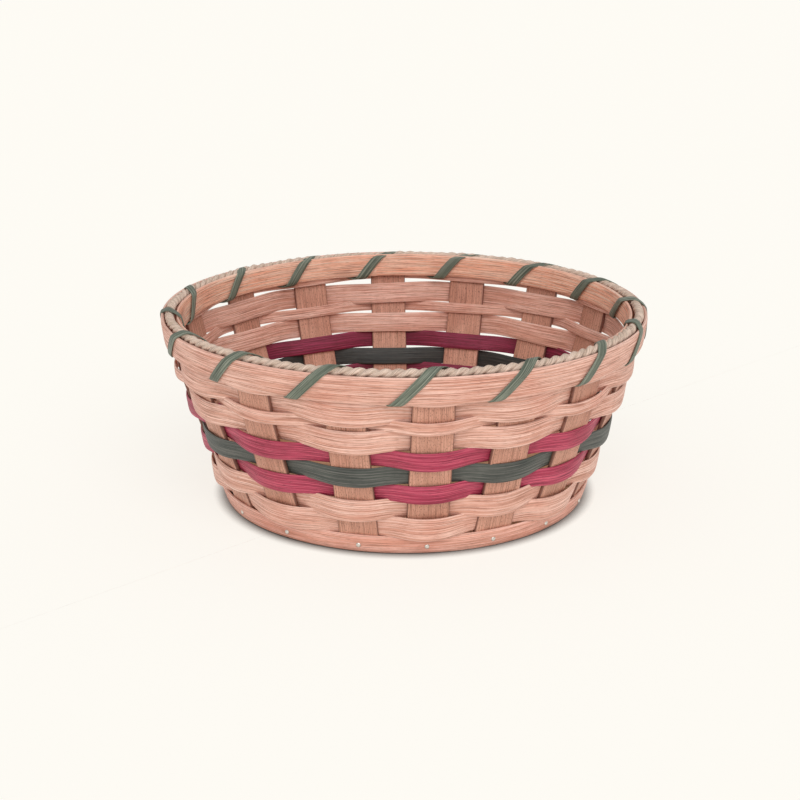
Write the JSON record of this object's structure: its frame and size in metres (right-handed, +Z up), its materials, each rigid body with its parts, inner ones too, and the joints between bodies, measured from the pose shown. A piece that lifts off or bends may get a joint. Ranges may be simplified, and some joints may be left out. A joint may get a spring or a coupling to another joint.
{
  "type": "round woven splint basket",
  "caption": "Low round woven reed basket with a flared open top, a wooden base, dyed stripes and a spiral-lashed rim.",
  "frame": {"origin": "centre of the underside, where the basket stands", "axes": "+Z up out of the open mouth, -Y the front; a stake stands 8 degrees from the front towards +X"},
  "size_m": [0.2542, 0.2542, 0.1052],
  "materials": {
    "base_wood": "sanded and stained, matt",
    "stake_reed": "stained flat reed, fine grain, satin",
    "natural_reed": "stained flat reed, streaked grain, satin",
    "crimson_reed": "crimson dyed flat reed, satin",
    "green_reed": "dark green dyed flat reed, satin",
    "lashing_reed": "grey-green dyed thin reed, matt",
    "seagrass": "twisted dry grass, matt",
    "nail_steel": "bright small nail heads"
  },
  "bodies": {
    "root": {"base_disc": "base_wood", "stake_01": "stake_reed", "stake_02": "stake_reed", "stake_03": "stake_reed", "stake_04": "stake_reed", "stake_05": "stake_reed", "stake_06": "stake_reed", "stake_07": "stake_reed", "stake_08": "stake_reed", "stake_09": "stake_reed", "stake_10": "stake_reed", "stake_11": "stake_reed", "stake_12": "stake_reed", "stake_13": "stake_reed", "stake_14": "stake_reed", "stake_15": "stake_reed", "stake_16": "stake_reed", "bottom_band": "natural_reed", "band_nails": "nail_steel", "woven_row_1": "natural_reed", "woven_row_2": "natural_reed", "woven_row_3": "crimson_reed", "woven_row_4": "green_reed", "woven_row_5": "crimson_reed", "woven_row_6": "natural_reed", "woven_row_7": "natural_reed", "woven_row_8": "natural_reed", "woven_row_9": "natural_reed", "rim_band_outer": "natural_reed", "rim_band_inner": "natural_reed", "seagrass_rope": "seagrass", "rim_lashing": "lashing_reed"}
  },
  "joints": []
}
